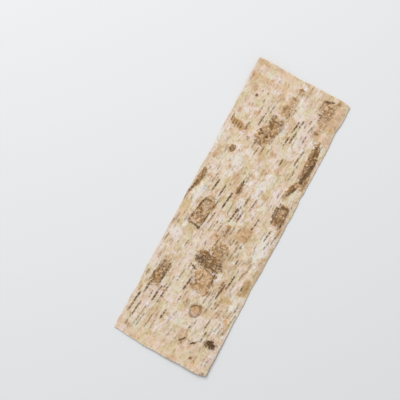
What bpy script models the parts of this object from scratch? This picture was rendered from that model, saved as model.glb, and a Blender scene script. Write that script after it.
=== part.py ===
# A craft sheet of birch bark: one thin piece, cut to a rectangle, lying on its smooth inner side.
# Metres, +Z up. The origin is on the table under the middle of the sheet. +Y runs along it, +X across.
# Places on the sheet are measured from its bottom left corner: across first, then along.
import math
import random

import bmesh
import bpy
from mathutils import Matrix, Vector, noise

# Driving dimensions
WIDTH = 0.103
LENGTH = 0.305
THICKNESS = 0.0018

# The sheet is a grid of top cells, with cells three times as large underneath
COLUMNS = 21
ROWS = 63
COARSER_BELOW = 3

# How far the underside rises from the table: the middle lies flat and the sides lift a little. The top end
# lifts towards its left corner, the bottom end towards its right one.
FLAT_HALF_WIDTH = 0.026
FLAT_TO_TOP = 0.055
FLAT_TO_BOTTOM = 0.070
TOP_LIFT = 0.0036
BOTTOM_LIFT = 0.0026
SIDE_LIFT = 0.0006
SIDE_WAVE = 0.130

# The bark thins towards its right side
THINNER_BY = 0.0010
THINNER_REACH = 0.0075

# The knife cut: a small wander on every side, and chips given as (middle, reach, depth) along the side
CUT_WANDER = 0.0011
CUT_WANDER_PITCH = 0.0085
CHIPS = {
    "left": ((0.052, 0.009, 0.0010), (0.203, 0.014, 0.0008)),
    "right": ((0.273, 0.008, 0.0012), (0.201, 0.004, 0.0011), (0.096, 0.008, 0.0010)),
    "bottom": ((0.002, 0.018, 0.0020), (0.103, 0.006, 0.0016)),
    "top": ((0.103, 0.004, 0.0018), (0.046, 0.010, 0.0012), (0.000, 0.006, 0.0010)),
}

# The grain of the bark leans this much from the sheet's long side, towards the right at the top
GRAIN_LEAN = math.radians(7)

# Rough patches of old outer bark: across, along, half width, half length, lean in degrees, height
ROUGH_PATCHES = (
    (0.0946, 0.2318, 0.0048, 0.0256, -6, 0.0010),  # band at the right edge
    (0.0902, 0.2042, 0.0032, 0.0100, 22, 0.0008),  # foot of that band
    (0.0922, 0.1756, 0.0072, 0.0122, 0, 0.0010),  # square patch under it
    (0.0409, 0.2387, 0.0090, 0.0088, 10, 0.0009),  # block near the top, lower half
    (0.0464, 0.2520, 0.0080, 0.0076, 6, 0.0009),  # the same block, upper half
    (0.0493, 0.2741, 0.0060, 0.0122, 4, 0.0006),  # fainter bark above that block
    (0.0853, 0.2872, 0.0084, 0.0138, 0, 0.0007),  # top right patch
    (0.0828, 0.2670, 0.0052, 0.0080, 6, 0.0005),  # fainter bark below it
    (0.0229, 0.1466, 0.0066, 0.0180, 6, 0.0010),  # long patch left of the middle
    (0.0526, 0.1035, 0.0148, 0.0078, 4, 0.0010),  # large patch, dark top
    (0.0547, 0.0835, 0.0112, 0.0140, 4, 0.0008),  # large patch, lighter lower part
    (0.0557, 0.1185, 0.0088, 0.0076, 0, 0.0006),  # trail above the large patch
    (0.0523, 0.1352, 0.0050, 0.0104, 6, 0.0005),  # upper end of that trail
    (0.0153, 0.0727, 0.0062, 0.0166, 4, 0.0008),  # patch near the bottom left
    (0.0449, 0.1808, 0.0028, 0.0066, 3, 0.0007),  # small dark spot
    (0.0186, 0.2126, 0.0031, 0.0044, 20, 0.0007),  # small dark spot near the top left
    (0.0050, 0.1732, 0.0025, 0.0118, 3, 0.0007),  # dark strip at the left edge
    (0.0536, 0.2929, 0.0030, 0.0036, 0, 0.0005),  # small brown spot near the top
    (0.0685, 0.1426, 0.0080, 0.0100, 0, 0.0004),  # low tan patch
)
PATCH_SQUARENESS = 3.2
PATCH_RAGGED = 0.16
PATCH_RAGGED_PITCH = 0.006

# The scales that each rough patch breaks into, wider across the grain than along it
SCALE_PITCH_ACROSS = 0.0056
SCALE_PITCH_ALONG = 0.0039
SCALE_JITTER = 0.22
SCALE_HALF_WIDTH = 0.0029
SCALE_HALF_LENGTH = 0.0021
SCALE_SIZES = (0.72, 1.12)
SCALE_CORNERS = (0.84, 1.14)  # how far a corner lies in or out
SCALE_SIDES = (5, 6, 7)
SCALE_STANDS = 0.70  # of the patch's height, the rest is the mound under the scales
SCALE_STANDS_SHARES = (0.55, 1.05)  # and how much of that each scale has
SCALE_TURN = 0.3
SCALE_TILT = math.radians(6)
SCALE_TAPER = 0.86
SCALE_FROM_EDGE = 0.0040
SCALE_LEAST_DEPTH = 0.10  # inside the patch, as patch_depth gives it

# Lenticels, the dark corky dashes along the grain: across and along at the lower end, then the length
LENTICELS = (
    (0.0045, 0.024, 0.013), (0.0055, 0.035, 0.011), (0.0095, 0.02, 0.0185), (0.0155, 0.014, 0.0235),
    (0.018, 0.012, 0.018), (0.026, 0.016, 0.017), (0.031, 0.015, 0.014), (0.036, 0.031, 0.012),
    (0.05, 0.019, 0.01), (0.0095, 0.046, 0.016), (0.0205, 0.043, 0.0185), (0.0255, 0.042, 0.0215),
    (0.043, 0.0525, 0.01), (0.0425, 0.0655, 0.018), (0.033, 0.0715, 0.015), (0.065, 0.032, 0.009),
    (0.066, 0.0635, 0.016), (0.0815, 0.029, 0.013), (0.086, 0.038, 0.01), (0.0795, 0.042, 0.012),
    (0.093, 0.042, 0.01), (0.085, 0.0565, 0.011), (0.0895, 0.0585, 0.009), (0.0945, 0.0625, 0.009),
    (0.0975, 0.0695, 0.011), (0.099, 0.0575, 0.012), (0.075, 0.0735, 0.0185), (0.0795, 0.0645, 0.013),
    (0.076, 0.0615, 0.011), (0.0795, 0.086, 0.018), (0.0835, 0.0845, 0.013), (0.0925, 0.09, 0.009),
    (0.0865, 0.098, 0.014), (0.068, 0.112, 0.01), (0.076, 0.11, 0.009), (0.0235, 0.105, 0.009),
    (0.003, 0.102, 0.01), (0.0395, 0.1335, 0.01), (0.045, 0.1325, 0.012), (0.033, 0.1365, 0.014),
    (0.038, 0.1545, 0.0195), (0.0505, 0.1465, 0.017), (0.054, 0.1495, 0.01), (0.057, 0.1495, 0.012),
    (0.074, 0.1495, 0.015), (0.09, 0.1465, 0.013), (0.0935, 0.1385, 0.012), (0.0975, 0.1465, 0.017),
    (0.056, 0.167, 0.014), (0.063, 0.164, 0.016), (0.0295, 0.164, 0.015), (0.021, 0.165, 0.015),
    (0.017, 0.173, 0.013), (0.071, 0.174, 0.012), (0.0205, 0.2305, 0.014), (0.0305, 0.244, 0.016),
    (0.062, 0.238, 0.012), (0.0635, 0.253, 0.014), (0.066, 0.243, 0.014), (0.0675, 0.259, 0.011),
    (0.077, 0.248, 0.01), (0.0805, 0.2255, 0.0195), (0.0675, 0.2185, 0.009), (0.0405, 0.2165, 0.01),
)
LENTICEL_HALF_WIDTH = 0.0007
LENTICEL_STANDS = 0.00035
LENTICEL_TAPER = 0.62
LENTICEL_SIDES = 6

# Islands of outer paper that still cling on: across, along, half width, half length, lift at one side
PAPER_ISLANDS = (
    (0.0104, 0.1582, 0.0055, 0.0125, 0.0006),
    (0.0367, 0.1168, 0.0065, 0.0100, 0.0005),
    (0.0724, 0.0438, 0.0045, 0.0105, 0.0005),
    (0.0947, 0.0981, 0.0040, 0.0085, 0.0008),
    (0.0694, 0.2046, 0.0045, 0.0090, 0.0005),
    (0.0843, 0.1296, 0.0035, 0.0135, 0.0005),
)
ISLAND_SIDES = 11
ISLAND_RAGGED = (0.74, 1.12)
ISLAND_TURN = 0.1
ISLAND_TILT = math.radians(3.0)
ISLAND_TAPER = 0.97

# The healed knot: a raised ring, and the dead knot: a pit
KNOT_PLACE = (0.0631, 0.0546)
KNOT_HALF_WIDTH = 0.0052
KNOT_HALF_LENGTH = 0.0062
KNOT_RIM = 0.0008
KNOT_RING_SEGMENTS = 14
KNOT_RIM_SEGMENTS = 6
PIT_PLACE = (0.0928, 0.0321)
PIT_HALF_WIDTH = 0.0050
PIT_HALF_LENGTH = 0.0042
PIT_DEPTH = 0.0011
PIT_RIM_PLACES = 9
PIT_RINGS = 4

SUNK = 0.0010  # how deep the raised pieces reach into the sheet
SLOPE_REACH = 0.003  # how far to each side the slope under a raised piece is measured
SHARP_ANGLE = math.radians(25)
DRAW_SEED = 5
BARK_COLOUR = (0.60, 0.45, 0.31, 1.0)
BARK_ROUGHNESS = 0.82


def rise(distance, start, end):
    """0 up to start, then a curve that reaches 1 at end."""
    share = min(max((distance - start) / (end - start), 0.0), 1.0)
    return share * share


def underside_height(x, y):
    """Height of the inner side above the table, where x and y are measured from the sheet's middle."""
    to_top = rise(y, FLAT_TO_TOP, LENGTH / 2)
    to_bottom = rise(-y, FLAT_TO_BOTTOM, LENGTH / 2)
    to_side = rise(abs(x), FLAT_HALF_WIDTH, WIDTH / 2)
    wave = 0.65 + 0.35 * math.sin(2 * math.pi * y / SIDE_WAVE + math.copysign(1.0, x))
    to_right = 0.5 + x / WIDTH
    ends = TOP_LIFT * to_top * (1 - to_right) + BOTTOM_LIFT * to_bottom * to_right
    return ends + SIDE_LIFT * to_side * wave


def patch_depth(patch, across, along):
    """How far inside a rough patch a place is: 1 in its middle, 0 at its ragged outline."""
    middle_across, middle_along, half_width, half_length, lean, _ = patch
    offset = Matrix.Rotation(math.radians(lean), 2) @ Vector((across - middle_across, along - middle_along))
    reach = abs(offset.x / half_width) ** PATCH_SQUARENESS + abs(offset.y / half_length) ** PATCH_SQUARENESS
    pitch = PATCH_RAGGED_PITCH
    ragged = PATCH_RAGGED * noise.noise(Vector((across / pitch, along / pitch, middle_along / pitch)))
    return 1 - reach ** (1 / PATCH_SQUARENESS) - ragged


def mound_height(across, along):
    """Height of the swelling under the rough patches."""
    height = 0.0
    for patch in ROUGH_PATCHES:
        depth = min(max(3 * patch_depth(patch, across, along), 0.0), 1.0)
        height = max(height, (1 - SCALE_STANDS) * patch[5] * depth)
    return height


def top_height(across, along):
    """Height of the outer side above the table, without scales, lenticels and islands."""
    x, y = across - WIDTH / 2, along - LENGTH / 2
    thickness = THICKNESS - THINNER_BY * rise(across, WIDTH - THINNER_REACH, WIDTH)
    return underside_height(x, y) + thickness + mound_height(across, along)


def cut_inset(side, place):
    """How far the cut strays inwards on one side, at a distance along that side."""
    row = list(CHIPS).index(side)
    wander = noise.noise(Vector((place / CUT_WANDER_PITCH, 3.7 * row, 0.5)))
    chips = sum(depth * math.exp(-(((place - middle) / reach) ** 2)) for middle, reach, depth in CHIPS[side])
    return CUT_WANDER * (0.5 + 0.5 * wander) + chips


def outlined(x_share, y_share):
    """A place on the sheet for shares from 0 to 1 of its width and length, inside the cut outline."""
    across, along = x_share * WIDTH, y_share * LENGTH
    left, right = cut_inset("left", along), WIDTH - cut_inset("right", along)
    bottom, top = cut_inset("bottom", across), LENGTH - cut_inset("top", across)
    return left + (right - left) * x_share, bottom + (top - bottom) * y_share


def add_grid(bm, columns, rows, height_at):
    """A grid of cells in the cut outline, on the surface that height_at(across, along) gives."""
    before = len(bm.verts)
    bmesh.ops.create_grid(bm, x_segments=columns, y_segments=rows, size=0.5)
    if columns < COLUMNS:
        bm.verts.index_update()
        rim = [e for e in bm.edges if e.is_boundary and e.verts[0].index >= before]
        bmesh.ops.subdivide_edges(bm, edges=rim, cuts=COARSER_BELOW - 1)
    bm.verts.ensure_lookup_table()
    for v in bm.verts[before:]:
        across, along = outlined(v.co.x + 0.5, v.co.y + 0.5)
        v.co = (across - WIDTH / 2, along - LENGTH / 2, height_at(across, along))


def make_sheet():
    """The plain sheet: outer side, inner side and the cut edge between them."""
    bm = bmesh.new()
    add_grid(bm, COLUMNS, ROWS, top_height)
    add_grid(
        bm,
        COLUMNS // COARSER_BELOW,
        ROWS // COARSER_BELOW,
        lambda across, along: underside_height(across - WIDTH / 2, along - LENGTH / 2),
    )
    bmesh.ops.bridge_loops(bm, edges=[e for e in bm.edges if e.is_boundary])
    bmesh.ops.triangulate(bm, faces=bm.faces)
    bmesh.ops.recalc_face_normals(bm, faces=bm.faces)
    mesh = bpy.data.meshes.new("bark_sheet")
    bm.to_mesh(mesh)
    bm.free()
    return bpy.data.objects.new("bark_sheet", mesh)


def surface_frame(across, along, turn, tilt):
    """A frame on the outer side: Z out of the bark, Y along the grain, then turned and tilted."""
    reach = SLOPE_REACH
    x, y = across - WIDTH / 2, along - LENGTH / 2
    ahead = Vector((0, 2 * reach, top_height(across, along + reach) - top_height(across, along - reach)))
    aside = Vector((2 * reach, 0, top_height(across + reach, along) - top_height(across - reach, along)))
    out = aside.cross(ahead).normalized()
    level = Vector((0, 0, 1)).rotation_difference(out).to_matrix().to_4x4()
    place = Matrix.Translation((x, y, top_height(across, along)))
    return place @ level @ Matrix.Rotation(turn - GRAIN_LEAN, 4, "Z") @ Matrix.Rotation(tilt, 4, "X")


def raised_piece(name, collection, frame, size, sides, taper, reaches=()):
    """A low many-sided piece that stands out of the bark, with its root sunk in it.

    The size is half its width, half its length and its height. The reaches move its corners in or out.
    """
    half_width, half_length, stands = size
    bm = bmesh.new()
    deep = SUNK + stands
    bmesh.ops.create_cone(bm, cap_ends=True, segments=sides, radius1=1, radius2=taper, depth=deep)
    for v in bm.verts:
        corner = round(math.atan2(v.co.x, v.co.y) * sides / (2 * math.pi)) % sides
        reach = reaches[corner] if reaches else 1
        v.co = (v.co.x * half_width * reach, v.co.y * half_length * reach, v.co.z + stands - deep / 2)
    bm.transform(frame)
    mesh = bpy.data.meshes.new(name)
    bm.to_mesh(mesh)
    bm.free()
    collection.objects.link(bpy.data.objects.new(name, mesh))


def add_scales(collection, draw):
    """The cracked scales of the rough patches, in staggered rows."""
    for patch in ROUGH_PATCHES:
        middle_across, middle_along, half_width, half_length, lean, height = patch
        columns = math.ceil(half_width / SCALE_PITCH_ACROSS)
        rows = math.ceil(half_length / SCALE_PITCH_ALONG)
        for row in range(-rows, rows + 1):
            for column in range(-columns, columns + 1):
                aside = column + 0.5 * (row % 2) + draw.uniform(-SCALE_JITTER, SCALE_JITTER)
                ahead = row + draw.uniform(-SCALE_JITTER, SCALE_JITTER)
                step = Vector((aside * SCALE_PITCH_ACROSS, ahead * SCALE_PITCH_ALONG))
                step = Matrix.Rotation(-math.radians(lean), 2) @ step
                across, along = middle_across + step.x, middle_along + step.y
                turn = draw.uniform(-SCALE_TURN, SCALE_TURN)
                tilt = draw.uniform(-SCALE_TILT, SCALE_TILT)
                spread, stands = draw.uniform(*SCALE_SIZES), draw.uniform(*SCALE_STANDS_SHARES)
                sides = draw.choice(SCALE_SIDES)
                reaches = [spread * draw.uniform(*SCALE_CORNERS) for _ in range(sides)]
                from_edge = min(across, WIDTH - across, along, LENGTH - along)
                if patch_depth(patch, across, along) < SCALE_LEAST_DEPTH or from_edge < SCALE_FROM_EDGE:
                    continue
                frame = surface_frame(across, along, turn, tilt)
                size = (SCALE_HALF_WIDTH, SCALE_HALF_LENGTH, SCALE_STANDS * height * stands)
                raised_piece("scale", collection, frame, size, sides, SCALE_TAPER, reaches)


def add_lenticels(collection):
    """The corky dashes along the grain."""
    for across, along, length in LENTICELS:
        half = length / 2
        middle = (across + half * math.sin(GRAIN_LEAN), along + half * math.cos(GRAIN_LEAN))
        frame = surface_frame(*middle, 0, 0)
        size = (LENTICEL_HALF_WIDTH, half, LENTICEL_STANDS)
        raised_piece("lenticel", collection, frame, size, LENTICEL_SIDES, LENTICEL_TAPER)


def add_islands(collection, draw):
    """Thin ragged islands of the outermost paper, a little higher at one end."""
    for across, along, half_width, half_length, lift in PAPER_ISLANDS:
        turn, tilt = draw.uniform(-ISLAND_TURN, ISLAND_TURN), ISLAND_TILT * draw.choice((-1, 1))
        frame = surface_frame(across, along, turn, tilt)
        reaches = [draw.uniform(*ISLAND_RAGGED) for _ in range(ISLAND_SIDES)]
        size = (half_width, half_length, lift)
        raised_piece("island", collection, frame, size, ISLAND_SIDES, ISLAND_TAPER, reaches)


def add_knot(collection):
    """The rim of the healed knot."""
    frame = surface_frame(*KNOT_PLACE, 0, 0)
    bpy.ops.mesh.primitive_torus_add(
        major_segments=KNOT_RING_SEGMENTS,
        minor_segments=KNOT_RIM_SEGMENTS,
        major_radius=KNOT_HALF_WIDTH,
        minor_radius=KNOT_RIM,
    )
    ring = bpy.context.object
    ring.name = "knot"
    ring.data.transform(frame @ Matrix.Diagonal((1, KNOT_HALF_LENGTH / KNOT_HALF_WIDTH, 1, 1)))
    for holder in list(ring.users_collection):
        holder.objects.unlink(ring)
    collection.objects.link(ring)


def make_pit_cutter():
    """A shallow bowl with an uneven rim, for the dead knot."""
    bpy.ops.mesh.primitive_uv_sphere_add(segments=PIT_RIM_PLACES, ring_count=PIT_RINGS, radius=1)
    cutter = bpy.context.object
    cutter.name = "pit_cutter"
    frame = surface_frame(*PIT_PLACE, 0, 0)
    cutter.data.transform(frame @ Matrix.Diagonal((PIT_HALF_WIDTH, PIT_HALF_LENGTH, PIT_DEPTH, 1)))
    cutter.hide_render = True
    cutter.display_type = "WIRE"
    return cutter


def combine(sheet, operation, **operand):
    """Joins to the sheet, or cuts from it, and keeps the result as its mesh."""
    modifier = sheet.modifiers.new(operation.lower(), "BOOLEAN")
    modifier.operation = operation
    for name, value in operand.items():
        setattr(modifier, name, value)
    graph = bpy.context.evaluated_depsgraph_get()
    made = bpy.data.meshes.new_from_object(sheet.evaluated_get(graph))
    sheet.modifiers.remove(modifier)
    sheet.data = made
    sheet.data.name = sheet.name


def centre(sheet):
    """Moves the mesh so that the origin is under the middle of its box, on the table."""
    places = [v.co for v in sheet.data.vertices]
    low = Vector([min(p[i] for p in places) for i in range(3)])
    high = Vector([max(p[i] for p in places) for i in range(3)])
    sheet.data.transform(Matrix.Translation((-(low.x + high.x) / 2, -(low.y + high.y) / 2, -low.z)))


def bark_material():
    material = bpy.data.materials.new("birch_bark")
    material.use_nodes = True
    shader = material.node_tree.nodes["Principled BSDF"]
    shader.inputs["Base Color"].default_value = BARK_COLOUR
    shader.inputs["Roughness"].default_value = BARK_ROUGHNESS
    shader.inputs["Metallic"].default_value = 0.0
    return material


def main():
    for old in list(bpy.data.objects):
        bpy.data.objects.remove(old)
    scene = bpy.context.scene.collection
    part = bpy.data.collections.new("birch_bark_sheet")
    relief = bpy.data.collections.new("relief")
    for collection in (part, relief):
        scene.children.link(collection)
    sheet = make_sheet()
    part.objects.link(sheet)

    draw = random.Random(DRAW_SEED)
    add_islands(relief, draw)
    add_scales(relief, draw)
    add_lenticels(relief)
    add_knot(relief)
    combine(sheet, "UNION", operand_type="COLLECTION", collection=relief)
    for piece in list(relief.objects):
        bpy.data.objects.remove(piece)
    cutter = make_pit_cutter()
    combine(sheet, "DIFFERENCE", object=cutter)
    bpy.data.objects.remove(cutter)

    centre(sheet)
    sheet.data.materials.clear()
    sheet.data.materials.append(bark_material())
    sheet.data.shade_smooth()
    sheet.data.set_sharp_from_angle(angle=SHARP_ANGLE)


main()
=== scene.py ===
# A cut sheet of birch bark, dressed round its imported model. Metres, Z up.
# Places on the sheet are measured from its bottom left corner: across first, then along.
import math
import random

import bpy
import numpy as np
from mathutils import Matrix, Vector, noise


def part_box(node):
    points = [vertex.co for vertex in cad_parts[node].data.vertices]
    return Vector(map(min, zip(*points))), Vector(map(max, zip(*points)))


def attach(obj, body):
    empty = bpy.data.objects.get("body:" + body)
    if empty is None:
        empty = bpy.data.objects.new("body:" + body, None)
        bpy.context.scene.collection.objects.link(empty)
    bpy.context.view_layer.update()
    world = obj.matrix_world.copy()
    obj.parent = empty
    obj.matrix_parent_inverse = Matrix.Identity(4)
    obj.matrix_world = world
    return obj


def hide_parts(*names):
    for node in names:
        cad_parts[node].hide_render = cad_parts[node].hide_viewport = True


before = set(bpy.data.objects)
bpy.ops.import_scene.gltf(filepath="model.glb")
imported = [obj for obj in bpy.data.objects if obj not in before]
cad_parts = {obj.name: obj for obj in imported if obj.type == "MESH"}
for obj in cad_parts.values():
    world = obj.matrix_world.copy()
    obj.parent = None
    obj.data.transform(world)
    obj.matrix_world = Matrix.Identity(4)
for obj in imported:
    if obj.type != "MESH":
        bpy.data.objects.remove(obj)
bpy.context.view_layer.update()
sheetLow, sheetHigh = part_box("bark_sheet")
print("frame loaded, sheet box", [round(v, 4) for v in (*sheetLow, *sheetHigh)])

# The blank before its ragged cut, and how finely it is modelled
sheet = {
    "width": 0.103,
    "length": 0.305,
    "thickness": 0.0018,
    "thinnerBy": 0.0010,  # at the right side
    "thinnerReach": 0.0075,
    "cellsAcross": 72,
    "cellsAlong": 216,
    "coarserBelow": 3,  # cells under the sheet are this many times larger
    "refineOnce": 0.0010,  # cells this near to relief are quartered
    "refineTwice": 0.0004,  # cells this near to it are quartered twice
    "refineTints": 0.0026,  # so are those in tinted areas with a half size below this
    "refinePatches": 1.12,  # and in rough patches, out to this share of their half size
    "refineKnots": 1.35,
    "onRim": 1e-5,  # what lies this near to the blank's rim counts as on it
    "smoothAngle": math.radians(50),
    "waves": ((0.011, 0.00010), (0.0035, 0.00005)),  # pitch and height of its faint unevenness
}

# How far the inner side rises from the table: the top end at its left corner, the bottom end at its
# right one, the sides by a share that swings between two
lift = {
    "flatHalfWidth": 0.026,
    "flatToTop": 0.055,
    "flatToBottom": 0.070,
    "top": 0.0036,
    "bottom": 0.0026,
    "side": 0.0006,
    "sideWave": 0.130,
    "sideShares": (0.30, 1.00),
}

# The knife cut: its wander, and chips as (middle, reach, depth) along each side
cut = {
    "wander": 0.0011,
    "wanderPitch": 0.0085,
    "nibble": 0.00028,
    "nibblePitch": 0.0016,
    "layers": 6,  # rows of paper layers in the cut edge
    "layerStep": 0.00016,
    "layerLeast": 0.3,  # the share of that step that every layer stands back
    "layerPitch": 0.004,
    "chips": {
        "left": ((0.052, 0.009, 0.0010), (0.203, 0.014, 0.0008)),
        "right": ((0.273, 0.008, 0.0012), (0.201, 0.004, 0.0011), (0.096, 0.008, 0.0010)),
        "bottom": ((0.002, 0.018, 0.0020), (0.103, 0.006, 0.0016)),
        "top": ((0.103, 0.004, 0.0018), (0.046, 0.010, 0.0012), (0.000, 0.006, 0.0010)),
    },
}

grainLean = math.radians(7)  # the grain leans from the long side, to the right at the top

# Rough patches of old outer bark: across, along, half width, half length, lean in degrees, height, and
# how dark they are from 0 to 1
roughPatches = (
    (0.0946, 0.2318, 0.0048, 0.0256, -6, 0.0010, 0.77),  # band at the right edge
    (0.0902, 0.2042, 0.0032, 0.0100, 22, 0.0008, 0.58),  # foot of that band
    (0.0922, 0.1756, 0.0072, 0.0122, 0, 0.0010, 0.68),  # square patch under it
    (0.0409, 0.2387, 0.0090, 0.0088, 10, 0.0009, 0.48),  # block near the top, lower half
    (0.0464, 0.2520, 0.0080, 0.0076, 6, 0.0009, 0.58),  # the same block, upper half
    (0.0493, 0.2741, 0.0060, 0.0122, 4, 0.0006, 0.34),  # fainter bark above that block
    (0.0853, 0.2872, 0.0084, 0.0138, 0, 0.0007, 0.42),  # top right patch
    (0.0828, 0.2670, 0.0052, 0.0080, 6, 0.0005, 0.36),  # fainter bark below it
    (0.0229, 0.1466, 0.0066, 0.0180, 6, 0.0010, 0.55),  # long patch left of the middle
    (0.0526, 0.1035, 0.0148, 0.0078, 4, 0.0010, 0.84),  # large patch, dark top
    (0.0547, 0.0835, 0.0112, 0.0140, 4, 0.0008, 0.34),  # large patch, lighter lower part
    (0.0557, 0.1185, 0.0088, 0.0076, 0, 0.0006, 0.42),  # trail above the large patch
    (0.0523, 0.1352, 0.0050, 0.0104, 6, 0.0005, 0.24),  # upper end of that trail
    (0.0153, 0.0727, 0.0062, 0.0166, 4, 0.0008, 0.58),  # patch near the bottom left
    (0.0449, 0.1808, 0.0028, 0.0066, 3, 0.0007, 0.85),  # small dark spot
    (0.0186, 0.2126, 0.0031, 0.0044, 20, 0.0007, 0.80),  # small dark spot near the top left
    # the dark strip at the left edge is partly painted shadow of a gap along that edge
    (0.0050, 0.1732, 0.0025, 0.0118, 3, 0.0007, 0.70),  # dark strip at the left edge
    (0.0536, 0.2929, 0.0030, 0.0036, 0, 0.0005, 0.60),  # small brown spot near the top
    (0.0685, 0.1426, 0.0080, 0.0100, 0, 0.0004, 0.16),  # low tan patch
)
patchForm = {
    "squareness": 3.2,  # 2 gives an oval, more a rounded rectangle
    "ragged": 0.16,
    "raggedPitch": 0.006,
    "frayed": 0.0011,  # how far small teeth bring the outline in or out
    "frayedPitch": 0.0019,
    "crackHalfWidth": 0.00034,
    "wobble": 0.0009,  # how far the cracks stray from straight lines
    "wobblePitch": 0.0021,
    "cloudPitch": 0.0062,  # lighter and darker parts of a patch
    "mottlePitch": 0.0026,
    "crumbPitch": 0.0021,  # the small crumbs that the scales break into
    "crumbJitter": 0.45,
    "crumbSquash": 0.8,
    "crumbHalfGap": 0.00050,
    "crumbField": (1.5, 1.3),  # how far they reach, in half widths and half lengths
}

# The scales that each rough patch breaks into, wider across the grain than along it
scaleForm = {
    "pitchAcross": 0.0056,
    "pitchAlong": 0.0039,
    "jitter": 0.22,
    "stands": 0.70,  # the share of a patch's height that its scales have, over its mound
    "standsShares": (0.55, 1.05),
    "turn": 0.3,
    "tilt": math.radians(6),
    "sizes": (0.72, 1.12),
    "corners": (0.84, 1.14),
    "sides": (5, 6, 7),
    "squash": 0.68,  # distances across count this much when scales share out the ground
}

# Lenticels: across and along at the lower end, the length, and how dark each is from 0 to 1
lenticels = (
    (0.0045, 0.024, 0.013, 0.8), (0.0055, 0.035, 0.011, 1.0), (0.0095, 0.02, 0.0185, 0.8),
    (0.0155, 0.014, 0.0235, 0.5), (0.018, 0.012, 0.018, 0.5), (0.026, 0.016, 0.017, 0.5),
    (0.031, 0.015, 0.014, 0.4), (0.036, 0.031, 0.012, 0.7), (0.05, 0.019, 0.01, 0.5),
    (0.0095, 0.046, 0.016, 0.8), (0.0205, 0.043, 0.0185, 0.9), (0.0255, 0.042, 0.0215, 0.7),
    (0.043, 0.0525, 0.01, 0.6), (0.0425, 0.0655, 0.018, 0.9), (0.033, 0.0715, 0.015, 0.5),
    (0.065, 0.032, 0.009, 0.6), (0.066, 0.0635, 0.016, 0.6), (0.0815, 0.029, 0.013, 0.8),
    (0.086, 0.038, 0.01, 0.5), (0.0795, 0.042, 0.012, 0.7), (0.093, 0.042, 0.01, 0.5),
    (0.085, 0.0565, 0.011, 0.5), (0.0895, 0.0585, 0.009, 0.4), (0.0945, 0.0625, 0.009, 0.5),
    (0.0975, 0.0695, 0.011, 0.6), (0.099, 0.0575, 0.012, 0.6), (0.075, 0.0735, 0.0185, 1.0),
    (0.0795, 0.0645, 0.013, 0.6), (0.076, 0.0615, 0.011, 0.5), (0.0795, 0.086, 0.018, 0.9),
    (0.0835, 0.0845, 0.013, 0.5), (0.0925, 0.09, 0.009, 0.9), (0.0865, 0.098, 0.014, 0.5),
    (0.068, 0.112, 0.01, 0.5), (0.076, 0.11, 0.009, 0.7), (0.0235, 0.105, 0.009, 0.7),
    (0.003, 0.102, 0.01, 0.5), (0.0395, 0.1335, 0.01, 0.6), (0.045, 0.1325, 0.012, 0.6),
    (0.033, 0.1365, 0.014, 0.7), (0.038, 0.1545, 0.0195, 1.0), (0.0505, 0.1465, 0.017, 1.0),
    (0.054, 0.1495, 0.01, 0.6), (0.057, 0.1495, 0.012, 0.8), (0.074, 0.1495, 0.015, 0.8),
    (0.09, 0.1465, 0.013, 0.8), (0.0935, 0.1385, 0.012, 0.5), (0.0975, 0.1465, 0.017, 0.6),
    (0.056, 0.167, 0.014, 0.7), (0.063, 0.164, 0.016, 0.7), (0.0295, 0.164, 0.015, 0.8),
    (0.021, 0.165, 0.015, 0.9), (0.017, 0.173, 0.013, 0.5), (0.071, 0.174, 0.012, 0.4),
    (0.0205, 0.2305, 0.014, 0.6), (0.0305, 0.244, 0.016, 0.7), (0.062, 0.238, 0.012, 0.8),
    (0.0635, 0.253, 0.014, 0.9), (0.066, 0.243, 0.014, 0.9), (0.0675, 0.259, 0.011, 0.7),
    (0.077, 0.248, 0.01, 0.8), (0.0805, 0.2255, 0.0195, 0.7), (0.0675, 0.2185, 0.009, 0.7),
    (0.0405, 0.2165, 0.01, 0.6),
)
# Fainter lenticels that hardly stand out, the same four values
faintLenticels = (
    (0.0325, 0.26, 0.016, 0.4), (0.0355, 0.248, 0.008, 0.6), (0.036, 0.2215, 0.008, 0.6),
    (0.072, 0.262, 0.007, 0.6), (0.0775, 0.26, 0.009, 0.5), (0.071, 0.2155, 0.008, 0.4),
    (0.068, 0.17, 0.015, 0.3), (0.0845, 0.188, 0.01, 0.4), (0.085, 0.1345, 0.006, 0.7),
    (0.082, 0.1375, 0.008, 0.5), (0.009, 0.183, 0.006, 0.6), (0.014, 0.17, 0.011, 0.5),
    (0.007, 0.1, 0.007, 0.5), (0.02, 0.097, 0.009, 0.4), (0.0705, 0.114, 0.006, 0.5),
    (0.0795, 0.113, 0.006, 0.5), (0.041, 0.0835, 0.012, 0.6), (0.051, 0.0565, 0.004, 0.8),
    (0.01, 0.043, 0.018, 0.5), (0.0085, 0.0595, 0.012, 0.6), (0.004, 0.022, 0.012, 0.6),
    (0.0135, 0.0105, 0.01, 0.4), (0.0345, 0.0055, 0.01, 0.3), (0.0375, 0.012, 0.008, 0.4),
    (0.0565, 0.0085, 0.01, 0.4), (0.042, 0.035, 0.007, 0.5), (0.045, 0.034, 0.006, 0.5),
    (0.089, 0.043, 0.005, 0.6), (0.096, 0.042, 0.008, 0.5), (0.093, 0.014, 0.01, 0.4),
    (0.097, 0.0085, 0.009, 0.4), (0.003, 0.0615, 0.01, 0.6), (0.0455, 0.1525, 0.007, 0.6),
    (0.044, 0.1405, 0.007, 0.6), (0.097, 0.119, 0.01, 0.6), (0.0895, 0.114, 0.009, 0.5),
)
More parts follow.
